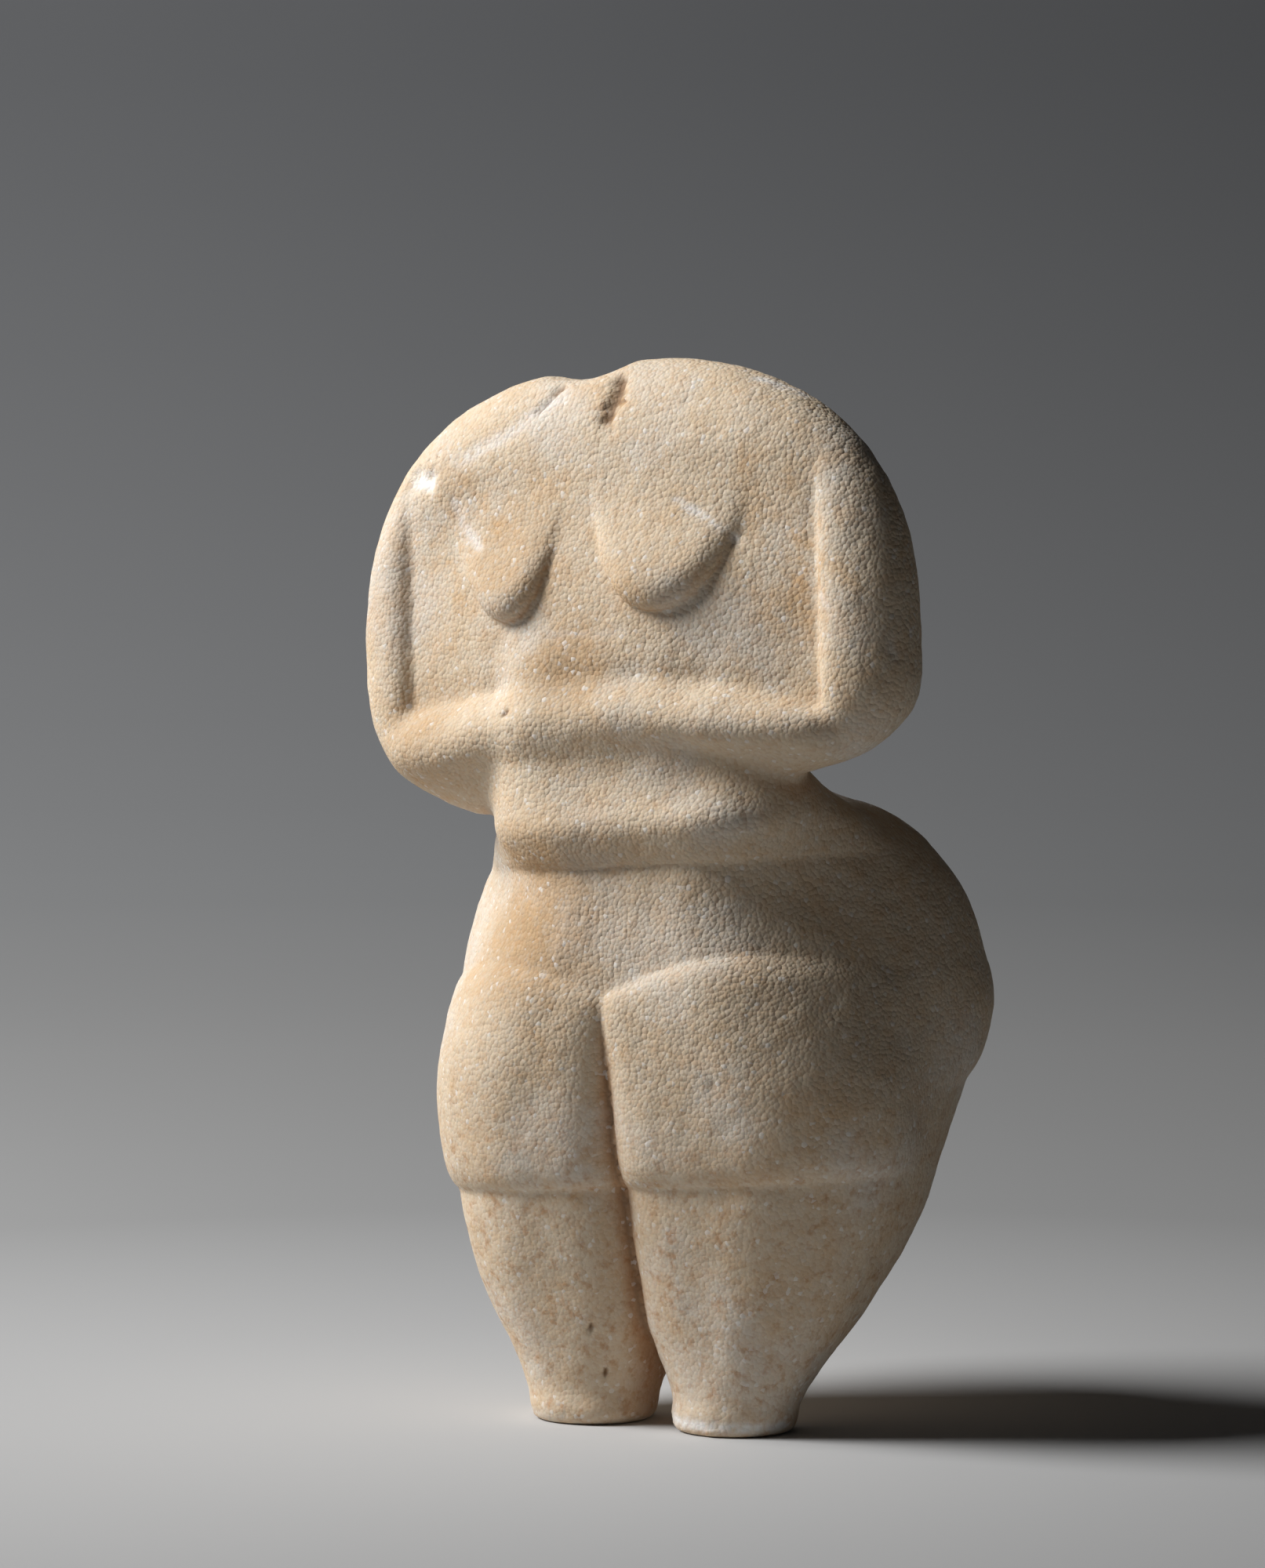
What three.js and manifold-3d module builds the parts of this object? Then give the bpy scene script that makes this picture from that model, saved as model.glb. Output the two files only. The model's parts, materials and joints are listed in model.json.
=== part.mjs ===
import * as THREE from 'three';
import Module from 'manifold-3d';
import { mergeVertices } from 'three/addons/utils/BufferGeometryUtils.js';

// A standing woman carved from one block of marble, arms folded, the head and neck broken off.
// Millimetres, +Z up. She faces -Y, so her left side is on +X.

const { clamp, lerp, smoothstep, degToRad } = THREE.MathUtils;

// Driving dimension: the proportions below are counted in 214ths of the height
const HEIGHT = 216;
const U = HEIGHT / 214;

// Stance: the middle of the two feet, seen from the middle of the figure's box
const STANCE_X = 1.52 * U;
const STANCE_Y = -13.99 * U;
const FOOT_SPREAD = 32.8 * U;
const FOOT_SETBACK = 0.5 * U;
const FOOT_RADIUS = 12 * U;
const FOOT_RIM_HEIGHT = 5.2 * U;
const FOOT_RIM_ROUND = 2 * U;

// Legs, hips and waist: level, half width in front and behind, front, back, corner radius in front and behind
const LEVELS = [
  [0, 28.4, 27.6, -12.0, 11.8, 12, 12],     // sole
  [9, 31.4, 30.4, -12.0, 16.0, 13, 14],     // ankle
  [26, 39.9, 40.7, -15.6, 27.4, 19, 20],    // calf
  [47, 43.8, 50.9, -20.3, 36.8, 24, 25],    // knee
  [70, 45.7, 54.9, -23.2, 43.5, 27, 30],    // thigh
  [90, 38.6, 57.4, -23.8, 48.5, 28, 34],    // hip
  [106, 30.2, 51.4, -22.3, 43.5, 26, 31],   // pelvis
  [118, 27.6, 42.2, -21.0, 31.0, 20, 24],   // loin
  [130, 28.5, 31.0, -20.0, 15.0, 16, 16],   // waist
  [145, 24.0, 24.0, -18.0, 3.0, 8, 8],      // ribs
];
const COLUMN_TOP = 152 * U;

// The front of hips and legs is turned a little to her left, and is fuller on that side
const HIPS_SLANT = 0.07;
const LEFT_FULLNESS = 8 * U;

// Cleft between the legs: level, half gap, and how widely its edges are rounded
const CLEFT = [
  [0, 4.5, 14],
  [8, 2.8, 16],
  [15, 0.8, 16],
  [22, -0.7, 15],
  [40, -1.2, 14],
  [60, -1.6, 13],
  [82, -3.3, 11],
  [92, -9.0, 10],
];

// The belly fold and the creases of thighs and knees rise towards her left side, by this share of the way
const TILT = 0.07;

// Thighs and knees: raised pads with a crease above and below
const THIGH_CREASE_LEVEL = 88.2 * U;
const THIGH_CREASE_ARCH = 6.8 * U;
const THIGH_WIDTH = 56 * U;
const THIGH_RELIEF = 2.6 * U;
const KNEE_LEVEL = 49.2 * U;

// Buttocks
const BUTTOCK_CENTRE = [25.5, 24.5, 91.5];
const BUTTOCK_RADII = [28.6, 28, 34];
const BUTTOCK_FOLD_LEVEL = 73 * U;
const BUTTOCK_FOLD_RELIEF = 1.6 * U;
const BUTTOCK_GROOVE_DEPTH = 5 * U;
const BUTTOCK_GROOVE_WIDTH = 6 * U;

// Belly: it flares like a skirt to a ridge, and a fold cuts in under it
const BELLY_FOLD_LEVEL = 113.2 * U;
const BELLY_RELIEF = 5.4 * U;
const BELLY_SIDE_RELIEF = 3.2 * U;
const BELLY_RIDGE_RISE = 8.5 * U;
const BELLY_HEIGHT = 22 * U;
const BELLY_LIP = 0.8 * U;

// Torso: a flat plate with the arms as its rim, turned, tilted and leaning on the waist
const TORSO_CENTRE = [-1.7, -8, 157];
const TORSO_TURN = degToRad(-4);
const TORSO_ROLL = degToRad(-4.2);
const TORSO_LEAN = degToRad(4);
const RIGHT_ARM_REACH = 65 * U;
const LEFT_ARM_REACH = 65.4 * U;
const SHOULDER_RISE = 56.9 * U;
const RIGHT_ELBOW_DROP = 35.2 * U;
const LEFT_ELBOW_DROP = 28.4 * U;
const PLATE_THICKNESS = 24 * U;
const PLATE_RIM = 18 * U;

// Chest panel, sunk between the arms, and the chest that swells in it
const PANEL_RIGHT = 49.4 * U;
const PANEL_LEFT = 48.4 * U;
const PANEL_BOTTOM = 7 * U;
const PANEL_BOW_RIGHT = 5 * U;
const PANEL_BOW_LEFT = 10 * U;
const PANEL_DEPTH = 3.8 * U;
const PANEL_FADE_TOP = 40 * U;
const CHEST_CENTRE = [0, 3, 6];
const CHEST_RADII = [50, 17.5, 41];

// Breasts: tip and middle of the top on the plate, half width at the top, and how blunt the tip is
const BREASTS = [
  { tip: [-21.3, 4.8], top: [-23.9, 34], halfWidth: 15, bluntness: 1.85 },
  { tip: [15, 5.2], top: [17.7, 36], halfWidth: 18, bluntness: 2.05 },
];
const BREAST_RELIEF = 4.8 * U;
const BREAST_EDGE = 6.5 * U;

// Forearms: one band across the body, thinnest in the middle
const FOREARM_LEVEL = -14.6 * U;
const FOREARM_SAG_RIGHT = 6.5 * U;
const FOREARM_SAG_LEFT = 9.5 * U;
const FOREARM_HALF_HEIGHT = 8.2 * U;
const FOREARM_FRONT = 17.4 * U;
const ARCH_HALF_WIDTH = 34 * U;
const ARCH_LEVEL = -42 * U;
const ARCH_RISE = 18.5 * U;

// Break at the neck
const BREAK_CENTRE = [-8.5, 3, 59];
const BREAK_RADII = [9.5, 30, 5.2];

// The surface is first covered with small facets, then thinned out where the stone is smooth
const FACET = 2.7 * U;
const FACET_COUNT = 9700;
const EVENNESS = 1e-4;
const CUT_CLEARANCE = 0.8 * U;
const SPARE_CELLS = 5;

// Joins two forms with a seam rounded over a width; meet keeps what both share, with the same rounding
function join(a, b, width) {
  const overlap = Math.max(width - Math.abs(a - b), 0) / width;
  return Math.min(a, b) - overlap * overlap * width / 4;
}

function meet(a, b, width) {
  return -join(-a, -b, width);
}

// Height of a raised edge, from nothing at the edge to one a few widths inside it
function swell(inside, width) {
  return inside > 0 ? 1 - Math.exp(-inside / width) : 0;
}

// Smooth curve through values given at rising stations
function curve(stations, values) {
  const last = stations.length - 1;
  const slopes = stations.map((_, i) => {
    const before = Math.max(i - 1, 0);
    const after = Math.min(i + 1, last);
    return (values[after] - values[before]) / (stations[after] - stations[before]);
  });
  return (at) => {
    const place = clamp(at, stations[0], stations[last]);
    let i = 0;
    while (i < last - 1 && place > stations[i + 1]) i += 1;
    const span = stations[i + 1] - stations[i];
    const t = (place - stations[i]) / span;
    return (1 + 2 * t) * (1 - t) ** 2 * values[i] + t * (1 - t) ** 2 * span * slopes[i]
      + t * t * (3 - 2 * t) * values[i + 1] + t * t * (t - 1) * span * slopes[i + 1];
  };
}

// Curve of one column of a table, against its first column
function profile(table, column) {
  return curve(table.map((row) => row[0] * U), table.map((row) => row[column] * U));
}

function ellipsoid(x, y, z, centre, radii) {
  const [a, b, c] = radii.map((radius) => radius * U);
  const [dx, dy, dz] = [x - centre[0] * U, y - centre[1] * U, z - centre[2] * U];
  const reach = Math.hypot(dx / a, dy / b, dz / c);
  const slope = Math.hypot(dx / a ** 2, dy / b ** 2, dz / c ** 2);
  return reach * (reach - 1) / Math.max(slope, 1e-6);
}

const columnProfiles = [1, 2, 3, 4, 5, 6].map((column) => profile(LEVELS, column));
const cleftGap = profile(CLEFT, 1);
const cleftRounding = profile(CLEFT, 2);

// Legs, hips and waist as one column with rounded corners, and the buttocks swelling from it
function column(x, y, z) {
  const [widthFront, widthBack, front, back, roundFront, roundBack] = columnProfiles.map((at) => at(z));
  const halfDepth = (back - front) / 2;
  const middle = (back + front) / 2;
  const behind = smoothstep((y - middle) / halfDepth, -1, 1);
  const fuller = LEFT_FULLNESS * smoothstep(x, -12 * U, 12 * U) * smoothstep(z, 14 * U, 62 * U);
  const halfWidth = lerp(widthFront + fuller, widthBack, behind);
  const round = lerp(roundFront, roundBack, behind);
  const outX = Math.abs(x) - halfWidth + round;
  const outY = Math.abs(y - middle) - halfDepth + round;
  const body = Math.min(Math.max(outX, outY), 0)
    + Math.hypot(Math.max(outX, 0), Math.max(outY, 0)) - round;
  const buttock = ellipsoid(Math.abs(x), y, z, BUTTOCK_CENTRE, BUTTOCK_RADII);
  return meet(join(body, buttock, 14 * U), z - COLUMN_TOP, 8 * U);
}

// Relief of the thighs in front and of the buttocks behind
function limbRelief(x, y, z) {
  const out = Math.abs(x);
  const arch = 1 - (2 * out / THIGH_WIDTH - 1) ** 2;
  const crease = THIGH_CREASE_LEVEL + THIGH_CREASE_ARCH * arch + TILT * x;
  const thigh = THIGH_RELIEF * swell(crease - z, 2.6 * U) * swell(z - KNEE_LEVEL - TILT * x, 2.2 * U);
  const foldLevel = BUTTOCK_FOLD_LEVEL + 3 * U * Math.cos(clamp(out / (52 * U), 0, 1) * Math.PI);
  const buttock = BUTTOCK_FOLD_RELIEF * swell(z - foldLevel, 2.5 * U) * (1 - smoothstep(z, 84 * U, 98 * U));
  return thigh * (1 - smoothstep(y, -16 * U, 14 * U)) + buttock * smoothstep(y, 8 * U, 30 * U);
}

function buttockGroove(x, y, z) {
  const along = smoothstep(z, 60 * U, 72 * U) * (1 - smoothstep(z, 104 * U, 120 * U));
  return BUTTOCK_GROOVE_DEPTH * Math.exp(-((x / BUTTOCK_GROOVE_WIDTH) ** 2)) * along
    * smoothstep(y, 20 * U, 36 * U);
}

// Relief of the belly: steep at the fold, up to a rounded ridge, then a straight slope to the waist
function bellyRelief(x, y, z) {
  const above = z - BELLY_FOLD_LEVEL - TILT * x;
  const under = above / BELLY_RIDGE_RISE;
  const slope = (BELLY_HEIGHT - above) / (BELLY_HEIGHT - BELLY_RIDGE_RISE);
  const raised = Math.max(join(under, slope, 0.5), 0);
  const lip = BELLY_LIP / BELLY_RELIEF * swell(above, 0.7 * U) * (1 - smoothstep(above, 3 * U, 12 * U));
  const strength = lerp(BELLY_RELIEF, BELLY_SIDE_RELIEF, smoothstep(y, -18 * U, -4 * U));
  return strength * (1 - smoothstep(y, 0, 18 * U)) * (raised + lip);
}

function addFeet(body, x, y, z) {
  const out = Math.hypot(Math.abs(x) - FOOT_SPREAD / 2, y - FOOT_SETBACK);
  const above = z - FOOT_RIM_HEIGHT + FOOT_RIM_ROUND;
  const rim = Math.hypot(Math.max(out - FOOT_RADIUS + FOOT_RIM_ROUND, 0), Math.max(above, 0)) - FOOT_RIM_ROUND;
  return join(body, rim, 2 * U);
}

// Depth inside a blunt oval round the origin, with the given half width and half height
function insideOval(x, z, halfWidth, halfHeight, bluntness) {
  const u = Math.max(Math.abs(x) / halfWidth, 1e-4);
  const v = Math.max(Math.abs(z) / halfHeight, 1e-4);
  const reach = (u ** bluntness + v ** bluntness) ** (1 / bluntness);
  const slope = reach ** (1 - bluntness)
    * Math.hypot(u ** (bluntness - 1) / halfWidth, v ** (bluntness - 1) / halfHeight);
  return (1 - reach) / slope;
}

// Distance to the plate's outline, a blunt oval that is fuller at the shoulders
function plateOutline(x, z) {
  const left = smoothstep(x, -25 * U, 25 * U);
  const bluntness = z > 0 ? lerp(2.48, 2.3, left) : lerp(2.8, 3.5, left);
  const rise = z > 0 ? SHOULDER_RISE : lerp(RIGHT_ELBOW_DROP, LEFT_ELBOW_DROP, left);
  return -insideOval(x, z, x > 0 ? LEFT_ARM_REACH : RIGHT_ARM_REACH, rise, bluntness);
}

function breastRelief(x, z) {
  let relief = 0;
  for (const { tip, top, halfWidth, bluntness } of BREASTS) {
    const down = (top[1] * U - z) / ((top[1] - tip[1]) * U);
    const middle = lerp(top[0], tip[0], down) * U;
    const height = (top[1] - tip[1]) * U;
    const inside = insideOval(x - middle, Math.max(down, 0) * height, halfWidth * U, height, bluntness);
    const shoulder = 1 - clamp(inside / BREAST_EDGE, 0, 1);
    relief += BREAST_RELIEF * Math.sqrt(1 - shoulder * shoulder) * smoothstep(down, 0, 1);
  }
  return relief;
}

// Distance to the plate, whose rim is an ellipse from its faces to its outline
function plateDistance(outline, y) {
  const across = Math.max(outline + PLATE_RIM, 0) / PLATE_RIM;
  const deep = 2 * y / PLATE_THICKNESS;
  const reach = Math.max(Math.hypot(across, deep), 1e-4);
  const slope = Math.hypot(across / PLATE_RIM, 2 * deep / PLATE_THICKNESS) / reach;
  return (reach - 1) / Math.max(slope, 1e-4);
}

// Torso in its own frame: origin on the plate's widest line, midway between its faces
function torso(x, y, z) {
  const outline = plateOutline(x, z);
  const left = x > 0;
  const side = Math.max(x - PANEL_LEFT, -PANEL_RIGHT - x);
  const bow = (left ? PANEL_BOW_LEFT : PANEL_BOW_RIGHT) * (x / PANEL_RIGHT) ** 2;
  const panel = meet(side, -PANEL_BOTTOM - bow - z, 3 * U);
  const front = 1 - smoothstep(y, -6 * U, 2 * U);

  const sunk = PANEL_DEPTH * (1 - swell(panel, 2.6 * U)) * (1 - smoothstep(z, 16 * U, PANEL_FADE_TOP)) * front;
  const plate = plateDistance(outline, y) + sunk;
  const arch = (Math.hypot(x / ARCH_HALF_WIDTH, (z - ARCH_LEVEL) / ARCH_RISE) - 1) * ARCH_RISE;

  const swollen = ellipsoid(x, y, z, CHEST_CENTRE, CHEST_RADII)
    - breastRelief(x, z) * (1 - smoothstep(y, -10 * U, -4 * U));
  const chest = lerp(swollen, meet(swollen, panel + U, 4 * U), front);
  const body = join(meet(plate, -arch, 6 * U), chest, 8 * U);

  const outward = (x / (50 * U)) ** 2;
  const high = FOREARM_HALF_HEIGHT + 2.6 * U * outward;
  const deep = 14.5 * U - 1.5 * U * outward;
  const offZ = z - FOREARM_LEVEL + (left ? FOREARM_SAG_LEFT : FOREARM_SAG_RIGHT) * outward;
  const offY = y + FOREARM_FRONT - 14.5 * U - 2.5 * U * outward;
  const reach = Math.hypot(offZ / high, offY / deep);
  const slope = Math.hypot(offZ / high ** 2, offY / deep ** 2);
  const band = meet(reach * (reach - 1) / Math.max(slope, 1e-5), outline + 1.5 * U, 12 * U);
  return join(body, meet(band, -panel - 0.6 * U, 2 * U), 3 * U);
}

function addTorso(body, x, y, z) {
  const [dx, dy, dz] = [x - TORSO_CENTRE[0] * U, y - TORSO_CENTRE[1] * U, z - TORSO_CENTRE[2] * U];
  const turnedX = dx * Math.cos(TORSO_TURN) + dy * Math.sin(TORSO_TURN);
  const turnedY = dy * Math.cos(TORSO_TURN) - dx * Math.sin(TORSO_TURN);
  const ownX = turnedX * Math.cos(TORSO_ROLL) - dz * Math.sin(TORSO_ROLL);
  const rolledZ = turnedX * Math.sin(TORSO_ROLL) + dz * Math.cos(TORSO_ROLL);
  const ownY = turnedY * Math.cos(TORSO_LEAN) - rolledZ * Math.sin(TORSO_LEAN);
  const ownZ = turnedY * Math.sin(TORSO_LEAN) + rolledZ * Math.cos(TORSO_LEAN);
  const behind = smoothstep(ownY, -3 * U, 6 * U) * (1 - smoothstep(Math.abs(x), 16 * U, 30 * U));
  const before = (1 - smoothstep(y, -14 * U, -4 * U)) * (1 - smoothstep(Math.abs(x + 4 * U), 14 * U, 34 * U));
  const joined = join(body, torso(ownX, ownY, ownZ), (3 + 11 * behind + 9 * before) * U);
  return meet(joined, -ellipsoid(ownX, ownY, ownZ, BREAK_CENTRE, BREAK_RADII), 4 * U);
}

// Signed distance to the surface, roughly, negative inside the stone
function stone(px, py, pz) {
  const [x, y, z] = [px - STANCE_X, py - STANCE_Y, pz];
  const slantedY = y - HIPS_SLANT * x * (1 - smoothstep(y, -14 * U, 14 * U)) * smoothstep(z, 4 * U, 40 * U);
  let body = column(x, slantedY, z) - limbRelief(x, slantedY, z);
  body = meet(body, cleftGap(z) - Math.abs(x), cleftRounding(z));
  body += buttockGroove(x, y, z) - bellyRelief(x, slantedY, z);
  body = addFeet(body, x, y, z);
  body = addTorso(body, x, y, z);
  return Math.max(body, -z - 1.5 * FACET);
}

function normalAt(point) {
  const { x, y, z } = point;
  const d = 0.1 * U;
  return new THREE.Vector3(
    stone(x + d, y, z) - stone(x - d, y, z),
    stone(x, y + d, z) - stone(x, y - d, z),
    stone(x, y, z + d) - stone(x, y, z - d),
  ).normalize();
}

// A cell's corners are numbered by bits, 1 for +X, 2 for +Y and 4 for +Z
const EDGES = [[0, 1], [2, 3], [4, 5], [6, 7], [0, 2], [1, 3], [4, 6], [5, 7], [0, 4], [1, 5], [2, 6], [3, 7]];
const FACES = [[0, 2, 6, 4], [1, 3, 7, 5], [0, 1, 5, 4], [2, 3, 7, 6], [0, 1, 3, 2], [4, 5, 7, 6]];
const edgeBetween = (a, b) => EDGES.findIndex(([c, d]) => (a === c && b === d) || (a === d && b === c));
const FACE_EDGES = FACES.map((face) => face.map((corner, i) => edgeBetween(corner, face[(i + 1) % 4])));

// Groups the crossed edges of a cell into separate pieces of surface, joined across the cell's faces
function piecesOf(inside) {
  const crossed = EDGES.map(([a, b]) => inside[a] !== inside[b]);
  const group = EDGES.map((_, i) => i);
  const unite = (a, b) => {
    const [from, to] = [group[a], group[b]];
    group.forEach((g, i) => { if (g === from) group[i] = to; });
  };
  FACE_EDGES.forEach((edges, f) => {
    const hits = edges.filter((edge) => crossed[edge]);
    if (hits.length === 2) unite(hits[0], hits[1]);
    if (hits.length === 4) {
      const start = inside[FACES[f][0]] ? 3 : 0;
      unite(edges[start], edges[(start + 1) % 4]);
      unite(edges[(start + 2) % 4], edges[(start + 3) % 4]);
    }
  });
  const pieces = new Map();
  EDGES.forEach((_, i) => {
    if (crossed[i]) pieces.set(group[i], [...(pieces.get(group[i]) ?? []), i]);
  });
  return [...pieces.values()];
}

// Point of an edge where the surface crosses it
function crossing(a, b, valueA, valueB) {
  const point = a.clone().lerp(b, valueA / (valueA - valueB));
  const value = stone(point.x, point.y, point.z);
  if (value < 0 === valueA < 0) return point.lerp(b, value / (value - valueB));
  return a.clone().lerp(point, valueA / (valueA - value));
}

// Vertex of one piece: from the middle of its crossings it moves to where their tangent planes meet
function settle(points) {
  const normals = points.map(normalAt);
  const middle = points.reduce((sum, point) => sum.add(point), new THREE.Vector3()).divideScalar(points.length);
  const vertex = middle.clone();
  for (let round = 0; round < 12; round += 1) {
    const pull = new THREE.Vector3();
    points.forEach((point, i) => pull.addScaledVector(normals[i], normals[i].dot(point.clone().sub(vertex))));
    vertex.addScaledVector(pull, 1 / points.length);
  }
  const limit = new THREE.Vector3(1, 1, 1).multiplyScalar(0.7 * FACET);
  vertex.clamp(middle.clone().sub(limit), middle.clone().add(limit));
  return vertex.addScaledVector(normalAt(vertex), -stone(vertex.x, vertex.y, vertex.z));
}

// Covers the surface with facets: one vertex for each piece of surface in a cell, one quad round each crossed edge
function carve(low, high) {
  const count = [0, 1, 2].map((axis) => Math.ceil((high[axis] - low[axis]) / FACET) + 1);
  const index = (i, j, k) => i + count[0] * (j + count[1] * k);
  const pointAt = (i, j, k) => new THREE.Vector3(low[0] + i * FACET, low[1] + j * FACET, low[2] + k * FACET);
  const values = new Float64Array(count[0] * count[1] * count[2]);
  const everyCell = (visit, size) => {
    for (let k = 0; k < size[2]; k += 1) {
      for (let j = 0; j < size[1]; j += 1) {
        for (let i = 0; i < size[0]; i += 1) visit(i, j, k);
      }
    }
  };
  everyCell((i, j, k) => {
    const { x, y, z } = pointAt(i, j, k);
    values[index(i, j, k)] = stone(x, y, z);
  }, count);

  const vertices = [];
  const vertexOf = new Map();
  const corner = (i, j, k, c) => [i + (c & 1), j + ((c >> 1) & 1), k + (c >> 2)];
  everyCell((i, j, k) => {
    const corners = [0, 1, 2, 3, 4, 5, 6, 7].map((c) => corner(i, j, k, c));
    const value = corners.map((at) => values[index(...at)]);
    const inside = value.map((v) => v < 0);
    if (inside.every((v) => v === inside[0])) return;
    const own = new Array(EDGES.length);
    for (const piece of piecesOf(inside)) {
      const points = piece.map((edge) => {
        const [a, b] = EDGES[edge];
        return crossing(pointAt(...corners[a]), pointAt(...corners[b]), value[a], value[b]);
      });
      piece.forEach((edge) => { own[edge] = vertices.length; });
      vertices.push(settle(points));
    }
    vertexOf.set(index(i, j, k), own);
  }, count.map((n) => n - 1));

  // The four cells round an edge, in order, and the number that the edge has in each of them
  const around = [
    { step: [1, 0, 0], cells: [[0, 0, 0, 0], [0, -1, 0, 1], [0, -1, -1, 3], [0, 0, -1, 2]] },
    { step: [0, 1, 0], cells: [[0, 0, 0, 4], [0, 0, -1, 6], [-1, 0, -1, 7], [-1, 0, 0, 5]] },
    { step: [0, 0, 1], cells: [[0, 0, 0, 8], [-1, 0, 0, 9], [-1, -1, 0, 11], [0, -1, 0, 10]] },
  ];
  const triangles = [];
  const missBetween = (a, b) => {
    const middle = vertices[a].clone().lerp(vertices[b], 0.5);
    return Math.abs(stone(middle.x, middle.y, middle.z));
  };
  everyCell((i, j, k) => {
    for (const { step, cells } of around) {
      const here = values[index(i, j, k)];
      const next = values[index(i + step[0], j + step[1], k + step[2])];
      if (here < 0 === next < 0) continue;
      const [a, b, c, d] = cells.map(([di, dj, dk, edge]) => vertexOf.get(index(i + di, j + dj, k + dk))[edge]);
      const quad = missBetween(a, c) < missBetween(b, d) ? [a, b, c, a, c, d] : [b, c, d, b, d, a];
      triangles.push(...(here < 0 ? quad : quad.reverse()));
    }
  }, count.map((n) => n - 1));

  return { vertices, triangles };
}

// How far a point lies from the planes of some facets: the sum of area times squared distance, as a quadric
function quadricOf(a, b, c) {
  const normal = b.clone().sub(a).cross(c.clone().sub(a));
  const area = normal.length() / 2;
  const { x, y, z } = normal.normalize();
  const w = -normal.dot(a);
  return [x * x, x * y, x * z, x * w, y * y, y * z, y * w, z * z, z * w, w * w].map((term) => term * area);
}

function missOf(q, { x, y, z }) {
  return q[0] * x * x + q[4] * y * y + q[7] * z * z + q[9]
    + 2 * (q[1] * x * y + q[2] * x * z + q[5] * y * z + q[3] * x + q[6] * y + q[8] * z);
}

// True if moving one corner of a facet neither folds it over nor leaves a needle
function staysSound(corners, moved, to) {
  const [a, b, c] = corners;
  const [d, e, f] = corners.map((point) => (point === moved ? to : point));
  const before = b.clone().sub(a).cross(c.clone().sub(a));
  const after = e.clone().sub(d).cross(f.clone().sub(d));
  const longest = Math.max(d.distanceToSquared(e), e.distanceToSquared(f), f.distanceToSquared(d));
  return before.normalize().dot(after.clone().normalize()) > 0.3 && after.length() > 0.12 * longest;
}

// Removes the least needed edges, a few in each round, until the wanted number of facets is left
function thinOut({ vertices, triangles }) {
  const faces = [];
  for (let i = 0; i < triangles.length; i += 3) faces.push(triangles.slice(i, i + 3));
  let kept = faces;
  while (kept.length > FACET_COUNT) {
    const quadrics = vertices.map(() => new Array(10).fill(0));
    const facesAt = vertices.map(() => []);
    const edges = [];
    for (const face of kept) {
      const quadric = quadricOf(...face.map((v) => vertices[v]));
      face.forEach((v, i) => {
        quadric.forEach((term, t) => { quadrics[v][t] += term; });
        facesAt[v].push(face);
        if (v < face[(i + 1) % 3]) edges.push({ a: v, b: face[(i + 1) % 3] });
      });
    }
    for (const edge of edges) {
      const [a, b] = [vertices[edge.a], vertices[edge.b]];
      const both = quadrics[edge.a].map((term, t) => term + quadrics[edge.b][t]);
      const places = [0, 0.25, 0.5, 0.75, 1].map((t) => a.clone().lerp(b, t));
      const misses = places.map((place) => missOf(both, place));
      const least = misses.indexOf(Math.min(...misses));
      edge.to = places[least];
      edge.cost = misses[least] + EVENNESS * a.distanceToSquared(b) ** 2;
    }
    edges.sort((e, f) => e.cost - f.cost);

    const touched = new Set();
    const gone = new Set();
    const quota = Math.min((kept.length - FACET_COUNT) / 2, kept.length / 12);
    for (const { a, b, to } of edges) {
      if (gone.size >= 2 * quota) break;
      const [atA, atB] = [facesAt[a], facesAt[b]];
      const ring = new Set([...atA, ...atB].flat());
      if ([...ring].some((v) => touched.has(v))) continue;
      const shared = atA.filter((face) => face.includes(b));
      const common = new Set(atA.flat().filter((v) => v !== a && v !== b && atB.some((face) => face.includes(v))));
      if (shared.length !== 2 || common.size !== 2) continue;
      to.addScaledVector(normalAt(to), -stone(to.x, to.y, to.z));
      const sound = (around, end) => around.every((face) => shared.includes(face)
        || staysSound(face.map((v) => vertices[v]), vertices[end], to));
      if (!sound(atA, a) || !sound(atB, b)) continue;
      vertices[a] = to;
      for (const face of atB) face[face.indexOf(b)] = a;
      shared.forEach((face) => gone.add(face));
      ring.forEach((v) => touched.add(v));
    }
    if (gone.size === 0) break;
    kept = kept.filter((face) => !gone.has(face));
  }
  return { vertices, triangles: kept.flat() };
}

function toBufferGeometry({ vertices, triangles }) {
  const geometry = new THREE.BufferGeometry();
  geometry.setAttribute('position', new THREE.Float32BufferAttribute(vertices.flatMap((v) => v.toArray()), 3));
  geometry.setIndex(triangles);
  return geometry;
}

const wasm = await Module();
wasm.setup();

function toSolid(geometry) {
  const bare = geometry.clone();
  bare.deleteAttribute('normal');
  bare.deleteAttribute('uv');
  const merged = mergeVertices(bare);
  return new wasm.Manifold(new wasm.Mesh({
    numProp: 3,
    vertProperties: new Float32Array(merged.attributes.position.array),
    triVerts: new Uint32Array(merged.index.array),
  }));
}

function toGeometry(solid) {
  const mesh = solid.getMesh();
  const geometry = new THREE.BufferGeometry();
  geometry.setAttribute('position', new THREE.Float32BufferAttribute(mesh.vertProperties, 3));
  geometry.setIndex([...mesh.triVerts]);
  return geometry;
}

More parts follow.
